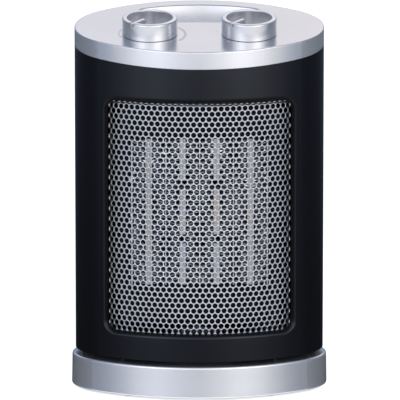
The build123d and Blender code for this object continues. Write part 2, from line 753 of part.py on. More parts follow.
with BuildPart() as control_screws:
    for s in (-1, 1):
        for d in (-14, 14):
            with BuildSketch(PT.offset(-7.6)):
                with Locations((s * KNOB_X + d, KNOB_V)):
                    Circle(2.2)
            extrude(amount=-1.4)
            with BuildSketch(PT.offset(-7.6)):
                with Locations((s * KNOB_X + d, KNOB_V)):
                    Circle(1.0)
            extrude(amount=5.4)
control_screws.part.label = "control_screws"
export_step(control_screws.part, "parts/control_screws.step")

# ------------------------------------------------------------------
# Heating element behind the grille
# ------------------------------------------------------------------
BAR_X = [-34.5, -11.5, 11.5, 34.5]
BAR_W = 4.2
STRIP_X = [-46.0, -23.0, 0.0, 23.0, 46.0]
STRIP_T = 0.8
ZP0 = PTC_Z - PTC_H / 2
ZP1 = PTC_Z + PTC_H / 2

with BuildPart() as ptc_tablets:
    for x in BAR_X:
        gap, mid = (6.2, 30.8) if abs(x) < 20 else (0.5, 33.0)
        end = (PTC_H - mid) / 2 - gap
        with BuildSketch(upright(x, PTC_Y0 + 0.6, PTC_Z)):
            Rectangle(BAR_W, mid)
            with GridLocations(1, mid + 2 * gap + end, 1, 2):
                Rectangle(BAR_W, end)
        extrude(amount=PTC_Y1 - PTC_Y0 - 1.2)
ptc_tablets.part.label = "ptc_tablets"
export_step(ptc_tablets.part, "parts/ptc_tablets.step")

with BuildPart() as ptc_strips:
    for x in STRIP_X:
        with BuildSketch(upright(x, PTC_Y0 - 0.2, PTC_Z)):
            Rectangle(STRIP_T, PTC_H)
        extrude(amount=PTC_Y1 - PTC_Y0 + 0.2)
ptc_strips.part.label = "ptc_strips"
export_step(ptc_strips.part, "parts/ptc_strips.step")

FIN_P = 3.4            # one full fold of the fin
FIN_T = 0.7            # half the fin's thickness measured across the folds
with BuildPart() as ptc_fins:
    for x in BAR_X:
        for s in (-1, 1):
            xa = x + s * (BAR_W / 2 + 0.1 + FIN_T)
            xb = x + s * (11.5 - STRIP_T / 2 - 0.1 - FIN_T)
            n = int((PTC_H - 1.0) / (FIN_P / 2))
            z0 = PTC_Z - n * FIN_P / 4
            fold = [(xa if k % 2 == 0 else xb, z0 + k * FIN_P / 2) for k in range(n + 1)]
            ring = [(p[0] - FIN_T, p[1]) for p in fold] + [(p[0] + FIN_T, p[1]) for p in reversed(fold)]
            with BuildSketch(Plane(origin=(0, PTC_Y0, 0), x_dir=(1, 0, 0), z_dir=(0, -1, 0))):
                with BuildLine():
                    Polyline(*ring, close=True)
                make_face()
            extrude(amount=-(PTC_Y1 - PTC_Y0 - 0.4))
ptc_fins.part.label = "ptc_fins"
export_step(ptc_fins.part, "parts/ptc_fins.step")

FR_Z0, FR_Z1 = 68.5, 182.0
FR_Y0, FR_Y1 = -33.5, -21.0
with BuildPart() as ptc_frame:
    with BuildSketch(upright(0, FR_Y0, (FR_Z0 + FR_Z1) / 2)):
        RectangleRounded(107.0, FR_Z1 - FR_Z0, 3)
    extrude(amount=FR_Y1 - FR_Y0)
    # flange that closes the space round the element, seen through the grille
    with BuildSketch(upright(0, FR_Y0, 124.0)):
        RectangleRounded(107.0, 150.0, 3)
    extrude(amount=2.0)
    with BuildSketch(upright(0, FR_Y0 - 1, PTC_Z)):
        Rectangle(PTC_W + 0.6, PTC_H + 0.6)
    extrude(amount=20, mode=Mode.SUBTRACT)
    with BuildSketch(upright(0, FR_Y1, FAN_Z)):
        with GridLocations(101, 101, 2, 2):
            Circle(1.05)
    extrude(amount=-9, mode=Mode.SUBTRACT)
    # terminal slots in the upper rail
    with BuildSketch(Plane.XY.offset(ZP1)):
        with Locations((-23.0, -27.0), (0.0, -27.0), (23.0, -27.0)):
            Rectangle(1.4, 7.0)
    extrude(amount=10, mode=Mode.SUBTRACT)
ptc_frame.part.label = "ptc_frame"
export_step(ptc_frame.part, "parts/ptc_frame.step")

with BuildPart() as ptc_terminals:
    for x in (-23.0, 0.0, 23.0):
        with BuildSketch(Plane.XY.offset(ZP1 + 0.1)):
            with Locations((x, -27.0)):
                Rectangle(0.8, 6.3)
        extrude(amount=11)
ptc_terminals.part.label = "ptc_terminals"
export_step(ptc_terminals.part, "parts/ptc_terminals.step")

# ------------------------------------------------------------------
# Air duct, fan and motor, all on one axis along Y
# ------------------------------------------------------------------
DUCT_Y0, DUCT_Y1 = -20.9, 12.5
EAR = [(x, z) for x in (-62.0, 62.0) for z in (FAN_Z - 40, FAN_Z + 40)]
with BuildPart() as air_duct:
    with BuildSketch(upright(0, DUCT_Y0, FAN_Z)):
        RectangleRounded(116, 114, 4)
        # upper part, closes the way past the fan to the rear slots
        with Locations((0, -43.75)):
            RectangleRounded(116, 55.5, 4)
        with GridLocations(124, 80, 2, 2):
            Circle(5.0)
        with GridLocations(112, 80, 2, 2):
            Rectangle(14, 10)
        Circle(FAN_R + 3.0, mode=Mode.SUBTRACT)
        with GridLocations(124, 80, 2, 2):
            Circle(1.5, mode=Mode.SUBTRACT)
        with GridLocations(101, 101, 2, 2):
            Circle(1.4, mode=Mode.SUBTRACT)
    extrude(amount=2.0)
    with BuildSketch(upright(0, DUCT_Y0 + 2.0, FAN_Z)):
        Circle(FAN_R + 5.0)
        Circle(FAN_R + 3.0, mode=Mode.SUBTRACT)
    extrude(amount=DUCT_Y1 - DUCT_Y0 - 2.0)
    # lugs for the motor bar
    with BuildSketch(upright(0, 2.5, FAN_Z)):
        with Locations((-58, 0), (58, 0)):
            Rectangle(9, 10)
        Circle(FAN_R + 3.0, mode=Mode.SUBTRACT)
    extrude(amount=10.0)
    with BuildSketch(upright(0, DUCT_Y1, FAN_Z)):
        with Locations((-58.5, 0), (58.5, 0)):
            Circle(1.05)
    extrude(amount=-8, mode=Mode.SUBTRACT)
air_duct.part.label = "air_duct"
export_step(air_duct.part, "parts/air_duct.step")

with BuildPart() as duct_screws:
    for x, z in EAR:
        with BuildSketch(upright(x, DUCT_Y0 + 2.0, z)):
            Circle(2.2)
        extrude(amount=1.5)
        with BuildSketch(upright(x, DUCT_Y0 + 2.0, z)):
            Circle(1.0)
        extrude(amount=-6.0)
duct_screws.part.label = "duct_screws"
export_step(duct_screws.part, "parts/duct_screws.step")

with BuildPart() as ptc_screws:
    for x in (-50.5, 50.5):
        for z in (-50.5, 50.5):
            with BuildSketch(upright(x, DUCT_Y0 + 2.0, FAN_Z + z)):
                Circle(2.2)
            extrude(amount=1.5)
            with BuildSketch(upright(x, DUCT_Y0 + 2.0, FAN_Z + z)):
                Circle(1.0)
            extrude(amount=-10.0)
ptc_screws.part.label = "ptc_screws"
export_step(ptc_screws.part, "parts/ptc_screws.step")

with BuildPart() as motor_mount:
    with BuildSketch(upright(0, DUCT_Y1, FAN_Z)):
        SlotOverall(126, 12)
        Circle(14.0)
        Circle(6.0, mode=Mode.SUBTRACT)
        with Locations((-58.5, 0), (58.5, 0)):
            Circle(1.4, mode=Mode.SUBTRACT)
        with Locations((-20, 0), (20, 0)):
            Circle(1.4, mode=Mode.SUBTRACT)
    extrude(amount=2.0)
motor_mount.part.label = "motor_mount"
export_step(motor_mount.part, "parts/motor_mount.step")

with BuildPart() as motor_front_bracket:
    with BuildSketch(upright(0, 14.5, FAN_Z)):
        SlotOverall(52, 11)
        Circle(8.0)
    extrude(amount=1.5)
    with BuildSketch(upright(0, 16.0, FAN_Z)):
        with Locations((-20, 0), (20, 0)):
            Circle(3.2)
    extrude(amount=4.0)
    with BuildSketch(upright(0, 10, FAN_Z)):
        Circle(4.5)
        with Locations((-20, 0), (20, 0)):
            Circle(1.4)
    extrude(amount=20, mode=Mode.SUBTRACT)
motor_front_bracket.part.label = "motor_front_bracket"
export_step(motor_front_bracket.part, "parts/motor_front_bracket.step")

with BuildPart() as motor_rear_bracket:
    with BuildSketch(upright(0, 38.0, FAN_Z)):
        SlotOverall(52, 11)
        Circle(8.0)
    extrude(amount=1.5)
    with BuildSketch(upright(0, 35.0, FAN_Z)):
        with Locations((-20, 0), (20, 0)):
            Circle(3.2)
    extrude(amount=3.0)
    with BuildSketch(upright(0, 30, FAN_Z)):
        Circle(4.5)
        with Locations((-20, 0), (20, 0)):
            Circle(1.4)
    extrude(amount=20, mode=Mode.SUBTRACT)
motor_rear_bracket.part.label = "motor_rear_bracket"
export_step(motor_rear_bracket.part, "parts/motor_rear_bracket.step")

with BuildPart() as motor_bearings:
    for y in (12.0, 35.8):
        with BuildSketch(upright(0, y, FAN_Z)):
            Circle(4.4)
            Circle(2.04, mode=Mode.SUBTRACT)
        extrude(amount=6.5)
motor_bearings.part.label = "motor_bearings"
export_step(motor_bearings.part, "parts/motor_bearings.step")

with BuildPart() as motor_stator:
    with BuildSketch(upright(0, 20.0, FAN_Z)):
        Rectangle(50, 44)
        with Locations((-19, 34), (19, 34)):
            Rectangle(12, 28)
        with Locations((0, 53)):
            Rectangle(50, 12)
        Circle(14.2, mode=Mode.SUBTRACT)
        with Locations((-20, 0), (20, 0)):
            Circle(1.4, mode=Mode.SUBTRACT)
    extrude(amount=15.0)
motor_stator.part.label = "motor_stator"
export_step(motor_stator.part, "parts/motor_stator.step")

with BuildPart() as motor_coil:
    with BuildSketch(Plane(origin=(-11.5, 27.5, FAN_Z - 53), x_dir=(0, 1, 0), z_dir=(1, 0, 0))):
        RectangleRounded(27, 24, 3)
        Rectangle(15.4, 12.4, mode=Mode.SUBTRACT)
    extrude(amount=23)
motor_coil.part.label = "motor_coil"
export_step(motor_coil.part, "parts/motor_coil.step")

with BuildPart() as motor_screws:
    for x in (-20, 20):
        with BuildSketch(upright(x, 12.4, FAN_Z)):
            Circle(2.6)
        extrude(amount=-1.6)
        with BuildSketch(upright(x, 12.4, FAN_Z)):
            Circle(1.3)
        extrude(amount=29)
        with BuildSketch(upright(x, 39.6, FAN_Z)):
            RegularPolygon(2.9, 6)
        extrude(amount=2.0)
    for x in (-58.5, 58.5):
        with BuildSketch(upright(x, 14.6, FAN_Z)):
            Circle(2.4)
        extrude(amount=1.6)
        with BuildSketch(upright(x, 14.6, FAN_Z)):
            Circle(1.0)
        extrude(amount=-9)
motor_screws.part.label = "motor_screws"
export_step(motor_screws.part, "parts/motor_screws.step")

with BuildPart() as motor_shaft:
    with BuildSketch(upright(0, -11.5, FAN_Z)):
        Circle(2.0)
    extrude(amount=55.5)
motor_shaft.part.label = "motor_shaft"
export_step(motor_shaft.part, "parts/motor_shaft.step")

with BuildPart() as motor_rotor:
    with BuildSketch(upright(0, 20.0, FAN_Z)):
        Circle(13.7)
        Circle(2.02, mode=Mode.SUBTRACT)
    extrude(amount=15.0)
motor_rotor.part.label = "motor_rotor"
export_step(motor_rotor.part, "parts/motor_rotor.step")

with BuildPart() as fan_impeller:
    with BuildSketch(upright(0, -12.0, FAN_Z)):
        Circle(16.0)
    extrude(amount=18.0)
    fillet(fan_impeller.edges().group_by(Axis.Y)[0], 3.0)
    for k in range(7):
        a = 2 * pi * k / 7
        rad = (cos(a), 0, sin(a))
        tang = (-sin(a), 0, cos(a))
        for r, chord, pitch in ((14.0, 20.0, 44.0), (FAN_R - 1.0, 30.0, 26.0)):
            b = radians(pitch)
            xd = (tang[0] * cos(b), sin(b), tang[2] * cos(b))
            with BuildSketch(Plane(origin=(r * rad[0], -3.0, FAN_Z + r * rad[2]), x_dir=xd, z_dir=rad)):
                RectangleRounded(chord, 1.6, 0.7)
        loft()
    # hollow hub with the shaft sleeve
    with BuildSketch(upright(0, -10.0, FAN_Z)):
        Circle(13.0)
        Circle(5.0, mode=Mode.SUBTRACT)
    extrude(amount=20.0, mode=Mode.SUBTRACT)
    with BuildSketch(upright(0, -11.5, FAN_Z)):
        Circle(2.02)
    extrude(amount=30.0, mode=Mode.SUBTRACT)
fan_impeller.part.label = "fan_impeller"
export_step(fan_impeller.part, "parts/fan_impeller.step")

# ------------------------------------------------------------------
# Safety parts and wiring fixed inside the body
# ------------------------------------------------------------------
with BuildPart() as thermal_cutout:
    with BuildSketch(Plane.XY.offset(FR_Z1 + 0.1)):
        with Locations((-36.0, -26.2)):
            Circle(4.9)
    extrude(amount=8.5)
    with BuildSketch(Plane.XY.offset(FR_Z1 + 8.6)):
        with Locations((-36.0, -26.2)):
            with Locations((-3.0, 0), (3.0, 0)):
                Rectangle(0.8, 4.4)
    extrude(amount=7)
thermal_cutout.part.label = "thermal_cutout"
export_step(thermal_cutout.part, "parts/thermal_cutout.step")

with BuildPart() as thermal_fuse:
    with BuildSketch(Plane(origin=(30.0, -27.2, FR_Z1 + 2.2), x_dir=(0, 1, 0), z_dir=(1, 0, 0))):
        Circle(2.0)
    extrude(amount=11)
    with BuildSketch(Plane(origin=(26.0, -27.2, FR_Z1 + 2.2), x_dir=(0, 1, 0), z_dir=(1, 0, 0))):
        Circle(0.5)
    extrude(amount=19)
thermal_fuse.part.label = "thermal_fuse"
export_step(thermal_fuse.part, "parts/thermal_fuse.step")

with BuildPart() as terminal_block:
    with BuildSketch(Plane.XY.offset(30.1)):
        with Locations((-46.0, 18.0)):
            RectangleRounded(34, 14, 1.5)
    extrude(amount=12)
    with BuildSketch(Plane.XY.offset(42.1)):
        with Locations((-46.0, 18.0)):
            with GridLocations(10.5, 1, 3, 1):
                Circle(2.2)
    extrude(amount=-7, mode=Mode.SUBTRACT)
terminal_block.part.label = "terminal_block"
export_step(terminal_block.part, "parts/terminal_block.step")

# wires in straight runs with rounded corners
WIRES = [
    [(-56.5, 18, 37.2), (-56.5, 18, 52), (-72, 14, 70), (-72, 14, 190), (-38, 6, 208), (-34, 4, 212)],
    [(-35.5, 18, 37.2), (-35.5, 18, 50), (-40, 30, 66), (-66, 30, 96), (-66, 26, 190), (30, 4, 200), (34, 2, 206)],
    [(-23, -27, 188.6), (-23, -22, 198), (6, -14, 203), (24, -12, 208)],
    [(23, -27, 188.6), (23, -24, 200), (30, -18, 206)],
]
WIRE_R = [6, 6, 4, 3]
with BuildPart() as wire_harness:
    for path, rad in zip(WIRES, WIRE_R):
        with BuildLine() as run:
            FilletPolyline(*path, radius=rad)
        with BuildSketch(Plane(origin=run.line @ 0, z_dir=run.line % 0)):
            Circle(1.1)
        sweep(path=run.line)
wire_harness.part.label = "wire_harness"
export_step(wire_harness.part, "parts/wire_harness.step")

# ------------------------------------------------------------------
# Grille: bent perforated sheet and the frame that holds it
# ------------------------------------------------------------------
FRAME_R0, FRAME_R1 = 98.0, 100.9
with BuildPart() as grille_frame:
    extrude(front_arc(FRAME_R0, FRAME_R1, 40.0, Plane.XY.offset(38.0)), amount=173.0)
    with BuildSketch(upright(0, -80, (WIN_Z0 + WIN_Z1) / 2)):
        RectangleRounded(2 * 62.8, 159.6, 6.5)
    extrude(amount=75, mode=Mode.SUBTRACT)
    for x, z in EAR:
        with BuildSketch(upright(x, DUCT_Y0 - 0.1, z)):
            Circle(3.4)
        extrude(amount=-4.6)
    for x, z in EAR:
        with BuildSketch(upright(x, DUCT_Y0 - 0.1, z)):
            Circle(1.05)
        extrude(amount=-4.4, mode=Mode.SUBTRACT)
grille_frame.part.label = "grille_frame"
export_step(grille_frame.part, "parts/grille_frame.step")

step = PITCH_X / R_GRILLE
with BuildPart() as grille:
    flats = [(k - COLS / 2) * step for k in range(COLS + 1)]
    rim = lambda r, t: (r * sin(t), FY - r * cos(t))
    with BuildSketch(Plane.XY.offset(41.0)):
        with BuildLine():
            Polyline(*[rim(R_GRILLE, t) for t in flats],
                     *[rim(R_GRILLE - T_GRILLE, t) for t in reversed(flats)], close=True)
        make_face()
    extrude(amount=167.0)
    holes = []
    for j in range(ROWS):
        n = COLS - 2 if j % 2 else COLS - 1
        for k in range(n):
            t = (k - (n - 1) / 2) * step
            holes.append(Plane(origin=(R_GRILLE * sin(t), FY - R_GRILLE * cos(t), ROW_Z - j * PITCH_Z),
                               x_dir=(cos(t), sin(t), 0), z_dir=(sin(t), -cos(t), 0)))
    with Locations(*[Location(h) for h in holes]):
        Cylinder(HOLE_R, 6.0, mode=Mode.SUBTRACT)
grille.part.label = "grille"
export_step(grille.part, "parts/grille.step")
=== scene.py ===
import json
import math

import bpy
import numpy as np
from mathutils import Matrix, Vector


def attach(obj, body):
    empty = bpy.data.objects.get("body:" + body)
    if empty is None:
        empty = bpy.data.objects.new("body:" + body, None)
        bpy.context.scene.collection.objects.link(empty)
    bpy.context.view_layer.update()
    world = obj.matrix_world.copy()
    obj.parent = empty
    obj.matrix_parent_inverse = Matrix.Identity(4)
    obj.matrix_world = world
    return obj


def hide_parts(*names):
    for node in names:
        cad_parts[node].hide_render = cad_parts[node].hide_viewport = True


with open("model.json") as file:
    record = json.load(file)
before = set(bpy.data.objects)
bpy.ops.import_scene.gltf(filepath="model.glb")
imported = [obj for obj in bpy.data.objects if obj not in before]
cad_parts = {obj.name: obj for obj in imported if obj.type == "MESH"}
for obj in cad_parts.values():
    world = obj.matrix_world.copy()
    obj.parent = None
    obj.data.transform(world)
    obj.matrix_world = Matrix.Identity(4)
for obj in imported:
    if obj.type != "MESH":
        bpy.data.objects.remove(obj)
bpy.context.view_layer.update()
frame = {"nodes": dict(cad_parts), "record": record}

scene = bpy.context.scene
nodes = frame["nodes"]

# ------------------------------------------------------------------
# Dimensions shared with the construction, metres
# ------------------------------------------------------------------
MM = 0.001
TILT = math.radians(9.9)
Z_TOP = 249.0
FY = 52.0
KNOB_X, KNOB_V = 33.6, -18.0
POINTER = 228.6


def panel(u, v, h=0.0):
    """Point on the sloping top panel, h millimetres above it, in metres."""
    c, s = math.cos(TILT), math.sin(TILT)
    return (u * MM, (v * c - h * s) * MM, (Z_TOP + v * s + h * c) * MM)


def link(name, verts, faces, smooth=True):
    me = bpy.data.meshes.new(name)
    me.from_pydata([tuple(v) for v in verts], [], [tuple(f) for f in faces])
    me.validate()
    me.update()
    if smooth:
        me.shade_smooth()
    ob = bpy.data.objects.new(name, me)
    scene.collection.objects.link(ob)
    return ob


# ------------------------------------------------------------------
# Materials
# ------------------------------------------------------------------
class Tree:
    """A small helper round one material's node tree."""

    def __init__(self, name):
        self.mat = bpy.data.materials.new(name)
        self.mat.use_nodes = True
        self.nt = self.mat.node_tree
        self.nt.nodes.clear()
        self.out = self.nt.nodes.new("ShaderNodeOutputMaterial")
        self.p = self.nt.nodes.new("ShaderNodeBsdfPrincipled")
        self.nt.links.new(self.p.outputs[0], self.out.inputs[0])
        self.coord = self.nt.nodes.new("ShaderNodeTexCoord").outputs["Object"]

    def set(self, **values):
        for key, value in values.items():
            self.p.inputs[key.replace("_", " ")].default_value = value
        return self

    def put(self, socket, source):
        self.nt.links.new(source, self.p.inputs[socket])

    def mapped(self, scale=(1, 1, 1), rot=(0, 0, 0)):
        m = self.nt.nodes.new("ShaderNodeMapping")
        m.inputs["Scale"].default_value = scale
        m.inputs["Rotation"].default_value = rot
        self.nt.links.new(self.coord, m.inputs["Vector"])
        return m.outputs[0]

    def noise(self, scale, detail=2.0, rough=0.5, vector=None, distortion=0.0):
        n = self.nt.nodes.new("ShaderNodeTexNoise")
        n.inputs["Scale"].default_value = scale
        n.inputs["Detail"].default_value = detail
        n.inputs["Roughness"].default_value = rough
        n.inputs["Distortion"].default_value = distortion
        self.nt.links.new(vector or self.coord, n.inputs["Vector"])
        return n.outputs[0]

    def voronoi(self, scale, vector=None, feature="F1"):
        n = self.nt.nodes.new("ShaderNodeTexVoronoi")
        n.feature = feature
        n.inputs["Scale"].default_value = scale
        self.nt.links.new(vector or self.coord, n.inputs["Vector"])
        return n

    def wave(self, scale, axis="X", vector=None, distortion=0.0, profile="SIN"):
        n = self.nt.nodes.new("ShaderNodeTexWave")
        n.wave_type = "BANDS"
        n.bands_direction = axis
        n.wave_profile = profile
        n.inputs["Scale"].default_value = scale
        n.inputs["Distortion"].default_value = distortion
        self.nt.links.new(vector or self.coord, n.inputs["Vector"])
        return n.outputs[1]

    def ramp(self, source, stops):
        r = self.nt.nodes.new("ShaderNodeValToRGB")
        e = r.color_ramp.elements
        while len(e) < len(stops):
            e.new(0.5)
        for k, (pos, col) in enumerate(stops):
            e[k].position = pos
            e[k].color = (*col, 1.0) if len(col) == 3 else col
        self.nt.links.new(source, r.inputs[0])
        return r.outputs[0]

    def span(self, source, lo, hi, f0=0.0, f1=1.0):
        m = self.nt.nodes.new("ShaderNodeMapRange")
        m.inputs["From Min"].default_value = f0
        m.inputs["From Max"].default_value = f1
        m.inputs["To Min"].default_value = lo
        m.inputs["To Max"].default_value = hi
        self.nt.links.new(source, m.inputs["Value"])
        return m.outputs[0]

    def math(self, op, a, b):
        m = self.nt.nodes.new("ShaderNodeMath")
        m.operation = op
        for k, v in enumerate((a, b)):
            if isinstance(v, (int, float)):
                m.inputs[k].default_value = v
            else:
                self.nt.links.new(v, m.inputs[k])
        return m.outputs[0]

    def mix(self, fac, a, b, blend="MIX"):
        m = self.nt.nodes.new("ShaderNodeMix")
        m.data_type = "RGBA"
        m.blend_type = blend
        if isinstance(fac, (int, float)):
            m.inputs[0].default_value = fac
        else:
            self.nt.links.new(fac, m.inputs[0])
        for k, v in ((6, a), (7, b)):
            if isinstance(v, tuple):
                m.inputs[k].default_value = (*v, 1.0)
            else:
                self.nt.links.new(v, m.inputs[k])
        return m.outputs[2]

    def separate(self, source=None):
        s = self.nt.nodes.new("ShaderNodeSeparateXYZ")
        self.nt.links.new(source or self.coord, s.inputs[0])
        return s.outputs

    def bump(self, height, strength, distance):
        b = self.nt.nodes.new("ShaderNodeBump")
        b.inputs["Strength"].default_value = strength
        b.inputs["Distance"].default_value = distance
        self.nt.links.new(height, b.inputs["Height"])
        self.put("Normal", b.outputs[0])


def lacquer(name, dark, light, rough, coat):
    """Silver metallic paint: fine flake, faint cloudiness, thin clear coat."""
    t = Tree(name).set(Metallic=0.84, Coat_Weight=coat, Coat_Roughness=0.10, Coat_IOR=1.45)
    flake = t.voronoi(5200.0)
    grain = t.noise(2600.0, 3.0, 0.6)
    cloud = t.noise(14.0, 3.0, 0.55)
    base = t.ramp(flake.outputs["Color"], [(0.0, dark), (1.0, light)])
    tone = t.ramp(cloud, [(0.30, (0.955, 0.96, 0.97)), (0.70, (1.0, 1.0, 1.0))])
    t.put("Base Color", t.mix(1.0, base, tone, "MULTIPLY"))
    t.put("Roughness", t.span(grain, rough - 0.035, rough + 0.035, 0.25, 0.75))
    t.bump(grain, 0.05, 0.00008)
    return t.mat


def moulding(name, dark, light, rough, grain_scale, bump, spec=0.5, sheen=(1.0, 1.0, 1.0)):
    """Moulded plastic with a fine spark-eroded grain and faint tone variation."""
    t = Tree(name).set(Specular_IOR_Level=spec, Specular_Tint=(*sheen, 1.0))
    cloud = t.noise(18.0, 4.0, 0.6)
    grain = t.noise(grain_scale, 3.0, 0.65)
    t.put("Base Color", t.ramp(cloud, [(0.30, dark), (0.72, light)]))
    t.put("Roughness", t.span(grain, rough - 0.05, rough + 0.05, 0.25, 0.75))
    t.bump(grain, bump, 0.0001)
    return t.mat


def metal(name, dark, light, rough, stretch=(1, 1, 1), scale=900.0, bump=0.08):
    """Bare or plated metal with rolled or drawn streaks."""
    t = Tree(name).set(Metallic=1.0)
    v = t.mapped(stretch)
    streak = t.noise(scale, 3.0, 0.6, v)
    cloud = t.noise(60.0, 3.0, 0.55)
    base = t.ramp(streak, [(0.28, dark), (0.72, light)])
    tone = t.ramp(cloud, [(0.30, (0.90, 0.90, 0.90)), (0.70, (1.0, 1.0, 1.0))])
    t.put("Base Color", t.mix(1.0, base, tone, "MULTIPLY"))
    t.put("Roughness", t.span(streak, rough - 0.06, rough + 0.07, 0.25, 0.75))
    t.bump(streak, bump, 0.00006)
    return t.mat


M = {}
M["silver_plastic"] = lacquer("silver_lacquer", (0.82, 0.825, 0.85), (0.92, 0.925, 0.945), 0.22, 0.10)


def knob_lacquer():
    """The same paint, with a painted shade darkening the bottom of the dished top and a painted highlight lightening
    the rim and pointer tops.
    """
    mat = lacquer("knob_lacquer", (0.73, 0.735, 0.76), (0.82, 0.825, 0.845), 0.24, 0.06)
    t = Tree.__new__(Tree)
    t.mat, t.nt = mat, mat.node_tree
    t.p = next(n for n in t.nt.nodes if n.type == "BSDF_PRINCIPLED")
    t.coord = next(n for n in t.nt.nodes if n.type == "TEX_COORD").outputs["Object"]
    x, y, z = t.separate()
    c, s = math.cos(TILT), math.sin(TILT)
    dz = t.math("SUBTRACT", z, Z_TOP * MM)
    u = t.math("SUBTRACT", t.math("ABSOLUTE", x, 0.0), KNOB_X * MM)
    v = t.math("SUBTRACT", t.math("ADD", t.math("MULTIPLY", y, c), t.math("MULTIPLY", dz, s)), KNOB_V * MM)
    h = t.math("SUBTRACT", t.math("MULTIPLY", dz, c), t.math("MULTIPLY", y, s))
    r = t.math("SQRT", t.math("ADD", t.math("MULTIPLY", u, u), t.math("MULTIPLY", v, v)), 0.0)
    # painted shade: darkens the floor and low walls of the knob's cup
    painted_cup_shade = t.math("MULTIPLY", t.span(r, 1.0, 0.0, 0.01545, 0.0158), t.span(h, 1.0, 0.0, 0.0018, 0.0062))
    paint = t.p.inputs["Base Color"].links[0].from_socket
    # painted highlight: lightens the tops of the rim and pointer
    painted_rim_highlight = t.span(h, 0.0, 0.85, 0.0103, 0.0114)
    paint = t.mix(painted_rim_highlight, paint, (0.94, 0.945, 0.96))
    t.put("Base Color", t.mix(t.math("MULTIPLY", painted_cup_shade, 0.16), paint, (0.20, 0.20, 0.22)))
    return mat


M["knob_silver"] = knob_lacquer()


def black_satin():
    """Satin black moulding; the sides and top of the window's lip are etched matt."""
    t = Tree("black_satin").set(Specular_Tint=(0.76, 0.85, 1.0, 1.0))
    cloud = t.noise(18.0, 4.0, 0.6)
    grain = t.noise(2200.0, 3.0, 0.65)
    x, y, z = t.separate()
    # distance outside the rounded window outline
    qx = t.math("MAXIMUM", t.math("SUBTRACT", t.math("ABSOLUTE", x, 0.0), 0.0555), 0.0)
    qz = t.math("MAXIMUM", t.math("SUBTRACT", t.math("ABSOLUTE", t.math("SUBTRACT", z, 0.1245), 0.0), 0.073), 0.0)
    off = t.math("SQRT", t.math("ADD", t.math("MULTIPLY", qx, qx), t.math("MULTIPLY", qz, qz)), 0.0)
    lip = t.math("MULTIPLY", t.span(off, 1.0, 0.0, 0.0084, 0.0102), t.span(y, 1.0, 0.0, -0.022, -0.018))
    wall = t.span(off, 1.0, 0.0, 0.0066, 0.0074)
    lip = t.math("MULTIPLY", lip, t.math("MAXIMUM", t.span(z, 0.0, 1.0, 0.0475, 0.0530), wall))
    t.put("Base Color", t.ramp(cloud, [(0.30, (0.0038, 0.0034, 0.0038)), (0.72, (0.0046, 0.0042, 0.0046))]))
    t.put("Roughness", t.math("ADD", t.span(grain, 0.12, 0.22, 0.25, 0.75), t.math("MULTIPLY", lip, 0.30)))
    t.put("Specular IOR Level", t.span(lip, 0.46, 0.06))
    t.bump(grain, 0.04, 0.0001)
    return t.mat


M["black_plastic"] = black_satin()
M["dark_plastic"] = moulding("dark_moulding", (0.0026, 0.0027, 0.0036), (0.0044, 0.0045, 0.0056), 0.50, 1600.0, 0.16, 0.16)
M["base_plastic"] = moulding("base_moulding", (0.016, 0.016, 0.017), (0.024, 0.024, 0.025), 0.58, 1300.0, 0.20, 0.4)
M["fan_plastic"] = moulding("fan_moulding", (0.012, 0.012, 0.014), (0.020, 0.020, 0.022), 0.45, 1500.0, 0.14, 0.4)
M["white_plastic"] = moulding("acetal", (0.66, 0.655, 0.62), (0.74, 0.735, 0.70), 0.42, 1700.0, 0.10)
M["rubber"] = moulding("rubber", (0.016, 0.016, 0.016), (0.030, 0.030, 0.030), 0.72, 1500.0, 0.25, 0.3)
M["steel"] = metal("zinc_steel", (0.42, 0.43, 0.45), (0.58, 0.59, 0.61), 0.32, (1, 1, 1), 1400.0)
M["brass"] = metal("brass", (0.58, 0.42, 0.17), (0.74, 0.56, 0.26), 0.30, (1, 1, 1), 1200.0)
M["strip_aluminium"] = metal("strip_aluminium", (0.55, 0.56, 0.58), (0.72, 0.73, 0.75), 0.34, (1, 1, 0.08), 900.0)


def grille_steel():
    t = Tree("grille_steel").set(Metallic=0.92)
    grain = t.noise(2400.0, 3.0, 0.6)
    cloud = t.noise(26.0, 3.0, 0.5)
    base = t.ramp(grain, [(0.25, (0.58, 0.60, 0.655)), (0.75, (0.69, 0.71, 0.765))])
    tone = t.ramp(cloud, [(0.30, (0.94, 0.945, 0.955)), (0.70, (1.0, 1.0, 1.0))])
    t.put("Base Color", t.mix(1.0, base, tone, "MULTIPLY"))
    t.put("Roughness", t.span(grain, 0.30, 0.40, 0.25, 0.75))
    t.bump(grain, 0.06, 0.00006)
    return t.mat


def ptc_ceramic():
    """Grey heating ceramic, going from a cool to a warm grey along each bar."""
    t = Tree("ptc_ceramic").set(Specular_IOR_Level=0.4)
    along = t.noise(26.0, 3.0, 0.6, t.mapped((1, 1, 1.0)))
    grain = t.noise(1500.0, 4.0, 0.7)
    base = t.ramp(along, [(0.34, (0.46, 0.51, 0.62)), (0.50, (0.54, 0.54, 0.54)), (0.64, (0.63, 0.57, 0.46))])
    speck = t.ramp(grain, [(0.25, (0.80, 0.80, 0.80)), (0.65, (1.0, 1.0, 1.0))])
    t.put("Base Color", t.mix(1.0, base, speck, "MULTIPLY"))
    t.put("Roughness", t.span(grain, 0.52, 0.74, 0.25, 0.75))
    t.bump(grain, 0.30, 0.00012)
    return t.mat


def fin_aluminium():
    t = Tree("fin_aluminium").set(Metallic=0.30)
    streak = t.noise(1400.0, 3.0, 0.6, t.mapped((1, 0.1, 1)))
    cloud = t.noise(45.0, 3.0, 0.6)
    base = t.ramp(streak, [(0.25, (0.37, 0.385, 0.41)), (0.75, (0.47, 0.485, 0.51))])
    tone = t.ramp(cloud, [(0.30, (0.82, 0.82, 0.83)), (0.70, (1.0, 1.0, 1.0))])
    t.put("Base Color", t.mix(1.0, base, tone, "MULTIPLY"))
    t.put("Roughness", t.span(streak, 0.36, 0.50, 0.25, 0.75))
    t.bump(streak, 0.10, 0.00006)
    return t.mat


